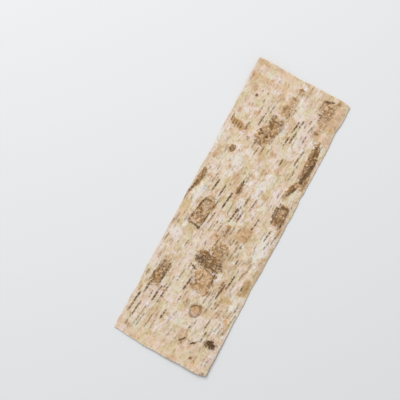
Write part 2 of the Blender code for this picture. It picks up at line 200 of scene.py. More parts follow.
lenticelForm = {
    "halfWidth": 0.00080,
    "palest": 0.75,  # the share of that width for the palest ones, and what the darkest gain on it
    "darkest": 0.45,
    "stands": 0.00035,  # how high they stand
    "faintStands": 0.3,  # the share of that height for the faint ones
    "endTaper": 0.0022,
    "beadPitch": 0.0015,
    "sway": 0.00022,  # how far a middle line wanders from side to side
    "swayPitches": (0.0011, 0.0023),
    "extra": 260,  # faint ones strewn between the rest
    "extraAcross": (0.002, 0.100),
    "extraAlong": (0.004, 0.290),
    "extraApart": (0.0022, 0.008),
    "extraLengths": (0.004, 0.013),
    "extraDark": (0.28, 0.70),
    "seed": 23,
}

# Splits and lips in the outer layers: from and to, half width, how dark, and how deep
splits = (
    # lips of peeled paper: their dark lines are painted shadow under the lifted paper edge
    (0.0815, 0.0305, 0.0785, 0.0265, 0.0006, 0.75, 0.0003),
    (0.079, 0.027, 0.074, 0.0235, 0.0008, 0.90, 0.0003),
    (0.0745, 0.025, 0.0675, 0.027, 0.0005, 0.50, 0.0001),
    (0.068, 0.0275, 0.062, 0.0205, 0.0008, 0.90, 0.0003),
    (0.0075, 0.2325, 0.008, 0.2395, 0.0006, 0.60, 0.0001),  # stripes on the brown patch
    (0.0105, 0.232, 0.011, 0.24, 0.0006, 0.70, 0.0001),
    (0.0135, 0.233, 0.014, 0.2395, 0.0006, 0.60, 0.0001),
    (0.0165, 0.233, 0.017, 0.238, 0.0006, 0.70, 0.0001),
    (0.0375, 0.103, 0.0655, 0.0965, 0.0009, 0.62, 0.0004),
    (0.0395, 0.101, 0.066, 0.104, 0.0007, 0.60, 0.0003),
    (0.0415, 0.1035, 0.0645, 0.11, 0.0006, 0.55, 0.0003),
    (0.0395, 0.099, 0.0615, 0.0925, 0.0007, 0.55, 0.0003),
    (0.0375, 0.0935, 0.0455, 0.0905, 0.0009, 0.85, 0.0004),
    (0.0635, 0.096, 0.065, 0.0795, 0.0010, 0.70, 0.0004),
    (0.015, 0.1285, 0.021, 0.1295, 0.0008, 0.75, 0.0004),
    (0.021, 0.1295, 0.0285, 0.127, 0.0010, 0.95, 0.0004),
    (0.0145, 0.1285, 0.0165, 0.1425, 0.0007, 0.70, 0.0003),
    (0.0275, 0.1265, 0.03, 0.1465, 0.0008, 0.80, 0.0003),
    (0.0165, 0.1435, 0.02, 0.158, 0.0009, 0.85, 0.0003),
    (0.019, 0.158, 0.027, 0.1565, 0.0008, 0.70, 0.0003),
    (0.0945, 0.2125, 0.098, 0.239, 0.0016, 0.90, 0.0004),
    (0.094, 0.239, 0.0925, 0.255, 0.0010, 0.85, 0.0003),
    (0.0875, 0.1945, 0.0935, 0.2075, 0.0011, 0.70, 0.0003),
    (0.09, 0.2125, 0.091, 0.232, 0.0007, 0.50, 0.0002),
    (0.0855, 0.17, 0.086, 0.183, 0.0008, 0.60, 0.0003),
    (0.0885, 0.185, 0.0975, 0.184, 0.0008, 0.70, 0.0003),
    (0.088, 0.164, 0.0875, 0.183, 0.0008, 0.65, 0.0003),
    (0.098, 0.164, 0.097, 0.185, 0.0008, 0.70, 0.0003),
    (0.0395, 0.256, 0.0515, 0.255, 0.0007, 0.65, 0.0003),
    (0.0335, 0.243, 0.0395, 0.239, 0.0010, 0.80, 0.0004),
    (0.0415, 0.238, 0.0455, 0.2385, 0.0012, 0.90, 0.0004),
    (0.0335, 0.2305, 0.0455, 0.2275, 0.0006, 0.60, 0.0003),
    (0.0405, 0.253, 0.0425, 0.247, 0.0009, 0.75, 0.0003),
    (0.0765, 0.2955, 0.0875, 0.2995, 0.0011, 0.80, 0.0004),
    (0.0825, 0.293, 0.089, 0.293, 0.0008, 0.70, 0.0003),
    (0.078, 0.282, 0.0815, 0.2825, 0.0010, 0.70, 0.0003),
    (0.0785, 0.2875, 0.0855, 0.2885, 0.0007, 0.55, 0.0003),
    (0.002, 0.1555, 0.0045, 0.17, 0.0010, 0.80, 0.0003),
    (0.0005, 0.1485, 0.0, 0.1555, 0.0009, 0.80, 0.0002),
    (0.0485, 0.107, 0.0465, 0.117, 0.0007, 0.55, 0.0002),
    (0.0485, 0.117, 0.0505, 0.1275, 0.0006, 0.55, 0.0002),
    (0.0535, 0.1235, 0.0635, 0.111, 0.0006, 0.50, 0.0002),
    (0.0495, 0.1365, 0.0555, 0.1315, 0.0006, 0.50, 0.0002),
    (0.0725, 0.1275, 0.0735, 0.1315, 0.0010, 0.65, 0.0003),
    (0.045, 0.1745, 0.045, 0.1905, 0.0009, 0.75, 0.0003),
    (0.031, 0.148, 0.0315, 0.159, 0.0007, 0.55, 0.0003),
    (0.019, 0.0615, 0.02, 0.0845, 0.0009, 0.75, 0.0003),
    (0.01, 0.0535, 0.013, 0.0635, 0.0008, 0.65, 0.0003),
    (0.011, 0.0775, 0.018, 0.0785, 0.0007, 0.60, 0.0003),
)

splitForm = {
    "widened": 1.35,  # the half widths above times this
    "depth": 0.5,  # the depths above times this
    "taper": 0.0016,
    "tornPitch": 0.0014,
}

# Islands of outer paper that still cling on: across, along, half width, half length, lift
paperIslands = (
    (0.0104, 0.1582, 0.0055, 0.0125, 0.0006),
    (0.0367, 0.1168, 0.0065, 0.0100, 0.0005),
    (0.0724, 0.0438, 0.0045, 0.0105, 0.0005),
    (0.0947, 0.0981, 0.0040, 0.0085, 0.0008),
    (0.0694, 0.2046, 0.0045, 0.0090, 0.0005),
    (0.0843, 0.1296, 0.0035, 0.0135, 0.0005),
)
islandForm = {"sides": 11, "ragged": (0.74, 1.12), "turn": 0.1, "tilt": math.radians(3.0)}
drawSeed = 5

# The healed knot, a raised ring, and the dead knot, a pit
knot = {
    "place": (0.0631, 0.0546),
    "halfWidth": 0.0052,
    "halfLength": 0.0062,
    "rim": 0.0008,
    "wobble": 0.07,
    "wobblePitch": 0.0031,
    "ringShares": (0.3, 0.85),  # how much of the ring's dark colour its palest and darkest parts take
    "ringPitch": 0.0026,
}
pit = {
    "place": (0.0928, 0.0321),
    "halfWidth": 0.0050,
    "halfLength": 0.0042,
    "depth": 0.0011,
    "torn": ((0.0034, 9.5, 0.35), (0.0013, 5.5, 0.55)),  # pitch, layer of the noise and strength
    "floorPitch": 0.0011,
    # the dark core and brown rim are partly the dead knot's own black-brown and partly painted shade that
    # deepens the pit
    "dark": 1.30,
}

# The colours of the bark, the table and the room, as seen on a screen from 0 to 255
colours = {
    "white": (235, 230, 222),
    "pink": (232, 214, 200),
    "cream": (227, 208, 184),
    "greenish": (220, 208, 174),
    "beige": (220, 196, 164),
    "peach": (228, 192, 152),
    "sand": (210, 180, 144),
    "tan": (202, 168, 130),
    "ochre": (208, 174, 118),
    "orange": (212, 168, 118),
    "apricot": (226, 166, 110),
    "russet": (186, 142, 92),
    "amber": (188, 140, 82),
    "rust": (176, 124, 86),
    "hazel": (190, 152, 106),
    "brown": (167, 128, 84),
    "darkBrown": (131, 97, 60),
    "umber": (97, 67, 39),
    "cork": (112, 89, 62),
    "slate": (104, 86, 68),
    "washGreen": (251, 255, 246),
    "washPink": (255, 250, 254),
    "shadeDeep": (222, 210, 194),
    "shadeNone": (255, 255, 255),
    "innerDark": (172, 118, 76),
    "innerMiddle": (196, 146, 100),
    "innerPale": (216, 176, 132),
    "innerPore": (122, 76, 46),
    "table": (230, 231, 232),
    "room": (250, 251, 254),
}

# Tinted areas: across, along, half width, half length, lean in degrees, colour, how strong from 0 to 1
tints = (
    (0.0495, 0.0085, 0.06, 0.0095, 0, "peach", 0.50),  # band along the bottom
    (0.018, 0.028, 0.02, 0.013, 0, "peach", 0.35),
    (0.0615, 0.027, 0.008, 0.0035, -10, "ochre", 0.55),
    (0.0845, 0.02, 0.008, 0.006, 0, "greenish", 0.55),
    (0.0755, 0.0105, 0.004, 0.0085, 5, "cream", 0.80),
    (0.0865, 0.0075, 0.004, 0.006, 0, "peach", 0.60),
    (0.0515, 0.02, 0.0045, 0.007, 0, "pink", 0.60),
    (0.0545, 0.036, 0.003, 0.006, 0, "ochre", 0.50),
    (0.0345, 0.0485, 0.003, 0.0035, 0, "tan", 0.60),
    (0.0725, 0.042, 0.0055, 0.011, 5, "pink", 0.85),
    (0.095, 0.059, 0.0020, 0.0035, -35, "apricot", 1.00),
    (0.0895, 0.0675, 0.008, 0.0055, 10, "greenish", 0.60),
    (0.097, 0.0845, 0.0045, 0.004, 0, "white", 0.70),
    (0.0325, 0.0545, 0.0035, 0.005, 0, "pink", 0.60),
    (0.025, 0.0575, 0.005, 0.0015, -12, "ochre", 1.00),
    (0.026, 0.057, 0.0018, 0.0012, 0, "russet", 0.80),
    (0.03, 0.0685, 0.006, 0.0055, 30, "greenish", 0.65),
    (0.0145, 0.05, 0.012, 0.010, 0, "pink", 0.62),
    (0.0325, 0.101, 0.005, 0.007, 0, "white", 0.50),
    (0.0365, 0.118, 0.007, 0.0095, 0, "pink", 0.80),
    (0.0725, 0.12, 0.009, 0.0085, 0, "tan", 0.50),
    (0.0105, 0.159, 0.0055, 0.0125, 12, "white", 0.90),
    (0.0515, 0.177, 0.004, 0.0035, 0, "peach", 0.60),
    (0.0815, 0.163, 0.009, 0.011, 0, "beige", 0.50),
    (0.031, 0.1825, 0.004, 0.005, 0, "sand", 0.80),
    (0.0715, 0.191, 0.003, 0.0035, 0, "ochre", 0.70),
    (0.0195, 0.192, 0.0035, 0.004, 0, "greenish", 0.80),
    (0.095, 0.1975, 0.005, 0.005, -25, "greenish", 0.85),
    (0.0625, 0.2055, 0.0026, 0.006, 0, "ochre", 0.85),
    (0.0695, 0.2035, 0.004, 0.008, 0, "white", 0.65),
    (0.0695, 0.2145, 0.0035, 0.005, 30, "tan", 0.70),
    (0.0365, 0.2165, 0.005, 0.006, 0, "white", 0.75),
    (0.0495, 0.2235, 0.008, 0.006, 0, "greenish", 0.60),
    (0.0605, 0.2335, 0.006, 0.009, -35, "pink", 0.85),
    (0.0675, 0.235, 0.008, 0.005, 20, "greenish", 0.60),
    (0.013, 0.2215, 0.007, 0.006, 20, "greenish", 0.50),
    (0.008, 0.249, 0.003, 0.004, 0, "rust", 0.60),
    (0.0875, 0.2235, 0.0035, 0.018, 0, "peach", 0.50),
    (0.0895, 0.263, 0.004, 0.005, 0, "peach", 0.60),
    (0.0625, 0.2715, 0.005, 0.009, 0, "white", 0.50),
    (0.097, 0.2725, 0.003, 0.0085, 0, "tan", 0.75),
    (0.095, 0.2885, 0.0045, 0.012, 0, "peach", 0.90),
    (0.0675, 0.2865, 0.007, 0.013, 0, "cream", 0.60),
    (0.004, 0.2835, 0.004, 0.011, 0, "tan", 0.55),
    (0.011, 0.3, 0.0055, 0.003, 20, "orange", 0.75),
    (0.0325, 0.2985, 0.008, 0.0045, 0, "peach", 0.70),
    (0.02, 0.2965, 0.009, 0.005, 0, "cream", 0.60),
    (0.081, 0.0115, 0.0020, 0.0019, 0, "rust", 1.00),  # dots
    (0.0805, 0.011, 0.0013, 0.0013, 0, "umber", 0.95),
    (0.0155, 0.27, 0.0020, 0.0021, 0, "umber", 1.00),
    (0.019, 0.2765, 0.0011, 0.0016, 0, "brown", 0.90),
    (0.025, 0.2765, 0.0013, 0.0018, 0, "brown", 1.00),
    (0.027, 0.0515, 0.0016, 0.0014, 0, "umber", 1.00),
    (0.0365, 0.0335, 0.0016, 0.0024, 0, "umber", 1.00),
    (0.0275, 0.2295, 0.0011, 0.0014, 0, "slate", 0.90),
    (0.099, 0.0025, 0.0022, 0.0025, 0, "slate", 0.70),
    (0.098, 0.174, 0.0020, 0.004, 0, "orange", 0.70),
    (0.0625, 0.1915, 0.0055, 0.014, 3, "white", 0.95),
    (0.03, 0.204, 0.01, 0.01, 0, "white", 0.85),
    (0.0095, 0.1125, 0.009, 0.008, 0, "white", 0.85),
    (0.092, 0.141, 0.0075, 0.0165, 2, "white", 0.85),
    (0.052, 0.168, 0.005, 0.008, 0, "white", 0.85),
    (0.0765, 0.2645, 0.0095, 0.0235, 0, "pink", 0.85),
    (0.0735, 0.2455, 0.008, 0.009, 20, "white", 0.70),
    (0.089, 0.0465, 0.005, 0.0065, 0, "white", 0.75),
    (0.042, 0.147, 0.006, 0.0075, 0, "white", 0.75),
    (0.029, 0.089, 0.007, 0.014, 5, "pink", 0.60),
    (0.0695, 0.067, 0.007, 0.012, 5, "pink", 0.65),
    (0.072, 0.233, 0.005, 0.009, 0, "white", 0.50),
    (0.051, 0.0405, 0.009, 0.008, 0, "white", 0.60),
    (0.03, 0.268, 0.01, 0.009, 0, "pink", 0.65),
    (0.0145, 0.1905, 0.006, 0.008, 0, "pink", 0.60),
    (0.011, 0.2375, 0.0075, 0.005, -8, "amber", 1.00),  # striped brown patch
    (0.017, 0.235, 0.006, 0.004, -20, "amber", 0.95),
    (0.05, 0.279, 0.007, 0.02, 4, "tan", 0.22),  # veil above the block
    (0.056, 0.112, 0.009, 0.004, 0, "hazel", 0.90),  # between the trail and the large patch
    (0.0235, 0.149, 0.004, 0.007, 0, "beige", 0.80),
    (0.059, 0.133, 0.007, 0.012, 8, "tan", 0.60),
    (0.0455, 0.082, 0.005, 0.007, 0, "pink", 0.80),
    (0.04, 0.242, 0.003, 0.004, 0, "umber", 0.55),
    (0.0505, 0.2555, 0.0035, 0.005, 0, "umber", 0.50),
    (0.0425, 0.103, 0.005, 0.004, 0, "umber", 0.45),
    (0.0615, 0.1055, 0.004, 0.0045, 0, "umber", 0.40),
    (0.019, 0.072, 0.0020, 0.015, 4, "umber", 0.45),
    (0.0125, 0.286, 0.012, 0.005, 0, "orange", 0.75),
    (0.034, 0.287, 0.014, 0.0045, 0, "peach", 0.80),
    (0.093, 0.274, 0.005, 0.007, 0, "orange", 0.55),
    (0.047, 0.221, 0.005, 0.013, 0, "ochre", 0.55),
    (0.0835, 0.077, 0.008, 0.005, 20, "ochre", 0.85),
    (0.0965, 0.0985, 0.005, 0.009, 0, "hazel", 0.95),  # clinging flake at the right edge
    (0.0055, 0.14, 0.0055, 0.01, 0, "ochre", 0.65),
    (0.0075, 0.1335, 0.007, 0.007, 0, "peach", 0.60),
    (0.063, 0.055, 0.006, 0.007, 0, "russet", 0.85),  # healed knot, then its paler middle
    (0.0630, 0.0550, 0.0036, 0.0044, 0, "orange", 0.60),
    (0.0695, 0.142, 0.009, 0.01, 0, "orange", 0.62),
    (0.0205, 0.134, 0.0045, 0.003, 0, "peach", 1.00),  # bright scale in the long patch
    (0.0155, 0.1315, 0.0020, 0.0020, 0, "rust", 1.00),
    (0.0135, 0.078, 0.0055, 0.0065, 0, "orange", 0.60),
    (0.0565, 0.087, 0.007, 0.007, 0, "orange", 0.55),
    (0.0565, 0.1175, 0.008, 0.007, 0, "hazel", 0.50),
    # painted highlights on scales of the square patch at the right edge
    (0.0925, 0.18, 0.0035, 0.0026, 0, "peach", 1.00),
    (0.093, 0.175, 0.003, 0.0020, 0, "peach", 0.95),
    (0.096, 0.169, 0.0026, 0.005, 0, "umber", 0.50),
    (0.019, 0.2125, 0.0022, 0.0035, 20, "umber", 0.75),
    (0.056, 0.251, 0.006, 0.008, 0, "white", 0.60),  # paler paper
    (0.0485, 0.136, 0.005, 0.008, 0, "cream", 0.80),
    (0.008, 0.084, 0.007, 0.007, 0, "pink", 0.75),
    (0.032, 0.252, 0.005, 0.014, 0, "pink", 0.45),
    (0.032, 0.227, 0.006, 0.006, 0, "cream", 0.55),
    (0.0695, 0.108, 0.009, 0.010, 0, "tan", 0.60),  # deeper layers
    (0.0075, 0.257, 0.008, 0.011, 0, "sand", 0.50),
    (0.02, 0.12, 0.007, 0.006, 0, "sand", 0.60),
    (0.056, 0.216, 0.006, 0.006, 0, "sand", 0.55),
    # painted shade where the right side turns down towards the table; the lowest of these is partly a real
    # tan tint too
    (0.1, 0.116, 0.0035, 0.013, 0, "tan", 0.80),  # darker places along the right side
    (0.1, 0.165, 0.0035, 0.012, 0, "tan", 0.80),
    (0.1, 0.189, 0.003, 0.009, 0, "sand", 0.60),
    (0.0985, 0.263, 0.0045, 0.008, 0, "tan", 0.75),
    (0.0985, 0.289, 0.0045, 0.013, 0, "tan", 0.70),
    (0.0015, 0.042, 0.003, 0.019, 0, "pink", 0.80),  # paler places along the left side
    (0.003, 0.191, 0.003, 0.009, 0, "cream", 0.60),
    (0.036, 0.303, 0.009, 0.0035, 0, "peach", 0.60),  # the top end
    (0.078, 0.303, 0.007, 0.0035, 0, "hazel", 0.35),
)
tintForm = {
    "edge": 0.35,
    "ragged": 0.55,
    "raggedPitch": 0.0045,
    "finerBy": 2.3,  # a second, half as strong raggedness has this much smaller a pitch
    "raggedFrom": 0.006,  # areas with a half size below this are less ragged
    "boost": 0.7,  # the power that every strength is raised to
}


def smooth(value, start, end):
    share = np.clip((value - start) / (end - start), 0, 1)
    return share * share * (3 - 2 * share)


def rise(distance, start, end):
    return np.clip((distance - start) / (end - start), 0, 1) ** 2


def noiseOn(across, along, pitch, layer=0.0):
    return np.array([noise.noise((a / pitch, b / pitch, layer)) for a, b in zip(across, along)])


def innerHeight(across, along):  # the inner side above the table
    x, y = across - sheet["width"] / 2, along - sheet["length"] / 2
    toTop = rise(y, lift["flatToTop"], sheet["length"] / 2)
    toBottom = rise(-y, lift["flatToBottom"], sheet["length"] / 2)
    toSide = rise(np.abs(x), lift["flatHalfWidth"], sheet["width"] / 2)
    low, high = lift["sideShares"]
    swing = np.sin(2 * math.pi * y / lift["sideWave"] + np.copysign(1.0, x))
    wave = (high + low) / 2 + (high - low) / 2 * swing
    toRight = 0.5 + x / sheet["width"]
    ends = lift["top"] * toTop * (1 - toRight) + lift["bottom"] * toBottom * toRight
    return ends + lift["side"] * toSide * wave


def cutInset(side, place):  # how far the cut strays inwards at a distance along one side
    row = list(cut["chips"]).index(side)
    wander = noiseOn(place, np.full(len(place), 3.7 * row * cut["wanderPitch"]), cut["wanderPitch"], 0.5)
    nibble = noiseOn(place, np.full(len(place), row * 0.01), cut["nibblePitch"], 2.5)
    chips = sum(deep * np.exp(-(((place - at) / reach) ** 2)) for at, reach, deep in cut["chips"][side])
    return cut["wander"] * (0.5 + 0.5 * wander) + chips + cut["nibble"] * np.maximum(nibble, 0)


def outlined(xShare, yShare):  # a place inside the ragged cut, for shares of the blank's width and length
    across, along = xShare * sheet["width"], yShare * sheet["length"]
    left, right = cutInset("left", along), sheet["width"] - cutInset("right", along)
    bottom, top = cutInset("bottom", across), sheet["length"] - cutInset("top", across)
    return left + (right - left) * xShare, bottom + (top - bottom) * yShare


def ovalOffset(across, along, middle, halfSize, lean):  # place in an oval's own frame, 1 at its outline
    turn = math.radians(lean)
    dx, dy = across - middle[0], along - middle[1]
    return ((math.cos(turn) * dx - math.sin(turn) * dy) / halfSize[0],
            (math.sin(turn) * dx + math.cos(turn) * dy) / halfSize[1])


def patchDepth(patch, across, along):  # 1 in the middle of a rough patch, 0 at its ragged outline
    px, py = ovalOffset(across, along, patch[:2], patch[2:4], patch[4])
    square, pitch = patchForm["squareness"], patchForm["raggedPitch"]
    reach = (np.abs(px) ** square + np.abs(py) ** square) ** (1 / square)
    depth = 1 - reach
    near = depth > -0.6
    depth[near] -= patchForm["ragged"] * noiseOn(across[near], along[near], pitch, patch[1] / pitch)
    return depth


def drawIslands(draw):  # the turn, tilt and ragged reaches of each island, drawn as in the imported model
    islands = []
    for place in paperIslands:
        turn = draw.uniform(-islandForm["turn"], islandForm["turn"])
        tilt = islandForm["tilt"] * draw.choice((-1, 1))
        reaches = [draw.uniform(*islandForm["ragged"]) for _ in range(islandForm["sides"])]
        islands.append((place, turn, tilt, reaches))
    return islands


def drawScales(draw):  # the scales of every rough patch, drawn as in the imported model
    scales = []
    for patch in roughPatches:
        found = []
        columns = math.ceil(patch[2] / scaleForm["pitchAcross"])
        rows = math.ceil(patch[3] / scaleForm["pitchAlong"])
        turnBack = -math.radians(patch[4])
        for row in range(-rows, rows + 1):
            for column in range(-columns, columns + 1):
                aside = column + 0.5 * (row % 2) + draw.uniform(-scaleForm["jitter"], scaleForm["jitter"])
                ahead = row + draw.uniform(-scaleForm["jitter"], scaleForm["jitter"])
                stepX, stepY = aside * scaleForm["pitchAcross"], ahead * scaleForm["pitchAlong"]
                across = patch[0] + math.cos(turnBack) * stepX - math.sin(turnBack) * stepY
                along = patch[1] + math.sin(turnBack) * stepX + math.cos(turnBack) * stepY
                turn = draw.uniform(-scaleForm["turn"], scaleForm["turn"])
                tilt = draw.uniform(-scaleForm["tilt"], scaleForm["tilt"])
                spread, stands = draw.uniform(*scaleForm["sizes"]), draw.uniform(*scaleForm["standsShares"])
                sides = draw.choice(scaleForm["sides"])
                for _ in range(sides):
                    draw.uniform(*scaleForm["corners"])
                found.append((across, along, turn - grainLean, tilt, stands, spread))
        scales.append(np.array(found))
    return scales


draw = random.Random(drawSeed)
islands = drawIslands(draw)
scales = drawScales(draw)


def strewLenticels():  # faint ones in the bare stretches between the rest
    strew = random.Random(lenticelForm["seed"])
    aside, ahead = lenticelForm["extraApart"]
    found = []
    while len(found) < lenticelForm["extra"]:
        across, along, length, dark = (strew.uniform(*lenticelForm[name]) for name in (
            "extraAcross", "extraAlong", "extraLengths", "extraDark"))
        others = (*lenticels, *found)
        if not any(abs(across - a) < aside and abs(along - b) < ahead for a, b, _, _ in others):
            found.append((across, along, length, dark))
    return found


def asLine(lenticel):  # from and to, half width and how dark
    across, along, length, dark = lenticel
    farAcross, farAlong = across + length * math.sin(grainLean), along + length * math.cos(grainLean)
    halfWidth = lenticelForm["halfWidth"] * (lenticelForm["palest"] + lenticelForm["darkest"] * dark)
    return (across, along, farAcross, farAlong, halfWidth, dark)


raisedLines = [asLine(lenticel) for lenticel in lenticels]
flatLines = [asLine(lenticel) for lenticel in (*faintLenticels, *strewLenticels())]


def lineField(across, along, line, ends=0.0001):  # 1 on a line and 0 at its side, and how far along it
    start, end = np.array(line[:2]), np.array(line[2:4])
    length = float(np.linalg.norm(end - start))
    ahead = (end - start) / length
    margin = 2.5 * line[4]  # its soft shade ends within this
    low, high = np.minimum(start, end) - margin, np.maximum(start, end) + margin
    near = np.flatnonzero((across > low[0]) & (across < high[0]) & (along > low[1]) & (along < high[1]))
    dx, dy = across[near] - start[0], along[near] - start[1]
    run = dx * ahead[0] + dy * ahead[1]
    quick, slow = lenticelForm["swayPitches"]  # from a phase that differs from line to line
    wave = np.sin(run / quick + 900 * start[0]) * np.sin(run / slow + 700 * start[1])
    off = np.abs(dx * ahead[1] - dy * ahead[0] + lenticelForm["sway"] * wave)
    taper = np.clip(np.minimum(run, length - run) / ends, 0, 1) ** 0.5
    return near, 1 - off / (line[4] * np.maximum(taper, 0.05)), run


def nearRelief(across, along, reach):  # cells that hold fine relief
    near = np.zeros(len(across), bool)
    for patch in roughPatches:
        px, py = ovalOffset(across, along, patch[:2], patch[2:4], patch[4])
        near |= np.maximum(np.abs(px), np.abs(py)) < sheet["refinePatches"]
    for line in (*raisedLines, *splits):
        index, side, _ = lineField(across, along, (*line[:4], line[4] + reach))
        near[index[side > 0]] = True
    for form in (knot, pit):
        px, py = ovalOffset(across, along, form["place"], (form["halfWidth"], form["halfLength"]), 0)
        near |= np.hypot(px, py) < sheet["refineKnots"]
    for tint in tints:
        if min(tint[2:4]) < sheet["refineTints"]:
            px, py = ovalOffset(across, along, tint[:2], (tint[2] + reach, tint[3] + reach), tint[4])
            near |= np.hypot(px, py) < 1.0
    return near


def nearestTwo(across, along, seeds, squash):  # each place's nearest seed, and how far its cell's side is
    away = np.hypot(squash * (across[:, None] - seeds[None, :, 0]), along[:, None] - seeds[None, :, 1])
    order = np.argsort(away, axis=1)[:, :2]
    rows = np.arange(len(across))
    return order[:, 0], (away[rows, order[:, 1]] - away[rows, order[:, 0]]) / 2


def crumbSeeds(patch, layer):  # jittered middles of the small crumbs in a rough patch
    strew = random.Random(layer)
    pitch, jitter = patchForm["crumbPitch"], patchForm["crumbJitter"]
    aside, ahead = patchForm["crumbField"][0] * patch[2], patchForm["crumbField"][1] * patch[3]
    across = np.arange(patch[0] - aside, patch[0] + aside, pitch)
    along = np.arange(patch[1] - ahead, patch[1] + ahead, pitch)
    return np.array([[v + strew.uniform(-jitter, jitter) * pitch for v in (a, b)]
                     for a in across for b in along])


def addRoughPatches(across, along, fields):  # mounds, scales and crumbs with the cracks between them
    mound = np.zeros(len(across))
    stand = np.zeros(len(across))
    for number, patch in enumerate(roughPatches):
        depth = patchDepth(patch, across, along)
        mound = np.maximum(mound, (1 - scaleForm["stands"]) * patch[5] * np.clip(3 * depth, 0, 1))
        near = np.flatnonzero(depth > -0.35)  # past the farthest tooth of the frayed outline
        a, b = across[near], along[near]
        frayed = patchForm["frayed"] * noiseOn(a, b, patchForm["frayedPitch"], number + 20.5)
        inside = depth[near] - frayed / min(patch[2], patch[3])
        coarse = noiseOn(a, b, patchForm["cloudPitch"], number + 0.3)
        middling = noiseOn(a, b, patchForm["mottlePitch"], number + 30.5)
        wobbleA = a + patchForm["wobble"] * noiseOn(a, b, patchForm["wobblePitch"], number)
        wobbleB = b + patchForm["wobble"] * noiseOn(a, b, patchForm["wobblePitch"], number + 50.5)
        which, side = nearestTwo(wobbleA, wobbleB, scales[number], scaleForm["squash"])
        scale = scales[number][which]
        crumbs = crumbSeeds(patch, number)
        crumb, crumbSide = nearestTwo(wobbleA, wobbleB, crumbs, patchForm["crumbSquash"])
        crumbDraw = random.Random(number + 100)
        crumbTone = np.array([crumbDraw.random() for _ in range(crumb.max() + 1)])[crumb]
        gape = patchForm["crackHalfWidth"] * (1.0 + 1.1 * coarse + 0.8 * middling)
        plate = smooth(side, 0.2 * gape, 2.4 * np.maximum(gape, 0.0001))  # 1 on a scale, 0 in a crack
        crumbled = smooth(crumbSide, 0.0, patchForm["crumbHalfGap"])  # the same for the crumbs
        ahead = -(a - scale[:, 0]) * np.sin(scale[:, 2]) + (b - scale[:, 1]) * np.cos(scale[:, 2])
        body = plate * (0.70 + 0.30 * crumbled) + (0.34 * (crumbTone - 0.5) + 0.5 * middling) * plate
        height = scaleForm["stands"] * patch[5] * body * scale[:, 4]
        height += np.tan(scale[:, 3]) * ahead * plate * 0.8
        inward = smooth(inside, -0.02, 0.16)
        stand[near] = np.maximum(stand[near], height * inward)
        cover = inside - (1 - patch[6]) * (0.04 + 0.6 * coarse)  # paler patches show more paper
        better = cover > fields["rough"][near]
        fields["rough"][near] = np.where(better, cover, fields["rough"][near])
        tone = 1.0 - 0.74 * patch[6] + 1.10 * coarse + 0.80 * middling  # from 0, dark, to 1, pale
        # taller scales are paler: partly painted highlight on their tops
        tone += 0.5 * (scale[:, 4] - 0.8) + 0.75 * (crumbTone - 0.5)
        fields["bark"][near] = np.where(better, tone, fields["bark"][near])
        # the crack darkness is partly the darker cork and partly painted shade in the cracks
        gaping = np.clip(0.30 + 1.3 * coarse + 1.1 * middling, 0.0, 1.1)
        crack = 0.6 * (1 - plate) * gaping + (1 - crumbled) * np.clip(0.5 + 1.2 * coarse, 0.15, 0.9)
        fields["crack"][near] = np.where(better, crack * (0.16 + 0.90 * patch[6]), fields["crack"][near])
    fields["height"] += mound + stand


def addLines(across, along, fields):  # lenticels stand out a little with a slit in them, splits are sunk
    ridge = np.zeros(len(across))
    dash = fields["dash"]
    for line in (*raisedLines, *flatLines):
        near, side, run = lineField(across, along, line, lenticelForm["endTaper"])
        beads = 0.80 + noiseOn(run, np.full(len(run), line[0]), lenticelForm["beadPitch"], line[1] * 300)
        core = smooth(side, -0.5, 0.75) * np.clip(beads, 0.15, 1.2)  # with a faint shade around it
        dash[near] = np.maximum(dash[near], line[5] * (0.8 * core + 0.2 * smooth(side, -1.4, 0.2)))
        stands = lenticelForm["stands"] * (1.0 if line in raisedLines else lenticelForm["faintStands"])
        slit = 1 - 0.55 * smooth(side, 0.55, 0.95)  # what is left of the height along the middle
        ridge[near] = np.maximum(ridge[near], stands * np.sqrt(np.clip(side, 0, 1)) * slit * beads)
    fields["height"] += ridge
    for *line, dark, deep in splits:
        line[4] *= splitForm["widened"]
        near, side, run = lineField(across, along, (*line, dark), splitForm["taper"])
        torn = 0.85 + 0.9 * noiseOn(across[near], along[near], splitForm["tornPitch"], 7.5)
        # on the paper lips this dark mark is painted shadow under the lifted edge
        mark = dark * smooth(side, -0.5, 0.7) * np.clip(torn, 0.15, 1.2)
        dash[near] = np.maximum(dash[near], mark)
        fields["height"][near] -= splitForm["depth"] * deep * np.clip(side, 0, 1)


def addIslands(across, along, fields):  # ragged sheets of outer paper, lifted at one end
    for (middleAcross, middleAlong, halfWidth, halfLength, stands), turn, tilt, reaches in islands:
        yaw = turn - grainLean
        dx, dy = across - middleAcross, along - middleAlong
        px, py = math.cos(yaw) * dx + math.sin(yaw) * dy, -math.sin(yaw) * dx + math.cos(yaw) * dy
        angle = np.arctan2(px / halfWidth, py / halfLength) % (2 * math.pi)
        corner = angle * islandForm["sides"] / (2 * math.pi)
        low = np.floor(corner).astype(int)
        share = corner - low
        ring = np.array([*reaches, reaches[0]])
        reach = ring[low] * (1 - share) + ring[np.minimum(low + 1, len(reaches))] * share
        depth = reach - np.hypot(px / halfWidth, py / halfLength)
        lifted = (stands + math.tan(tilt) * py) * smooth(depth, 0, 0.06)
        fields["height"] = np.where(depth > 0, np.maximum(fields["height"], lifted), fields["height"])


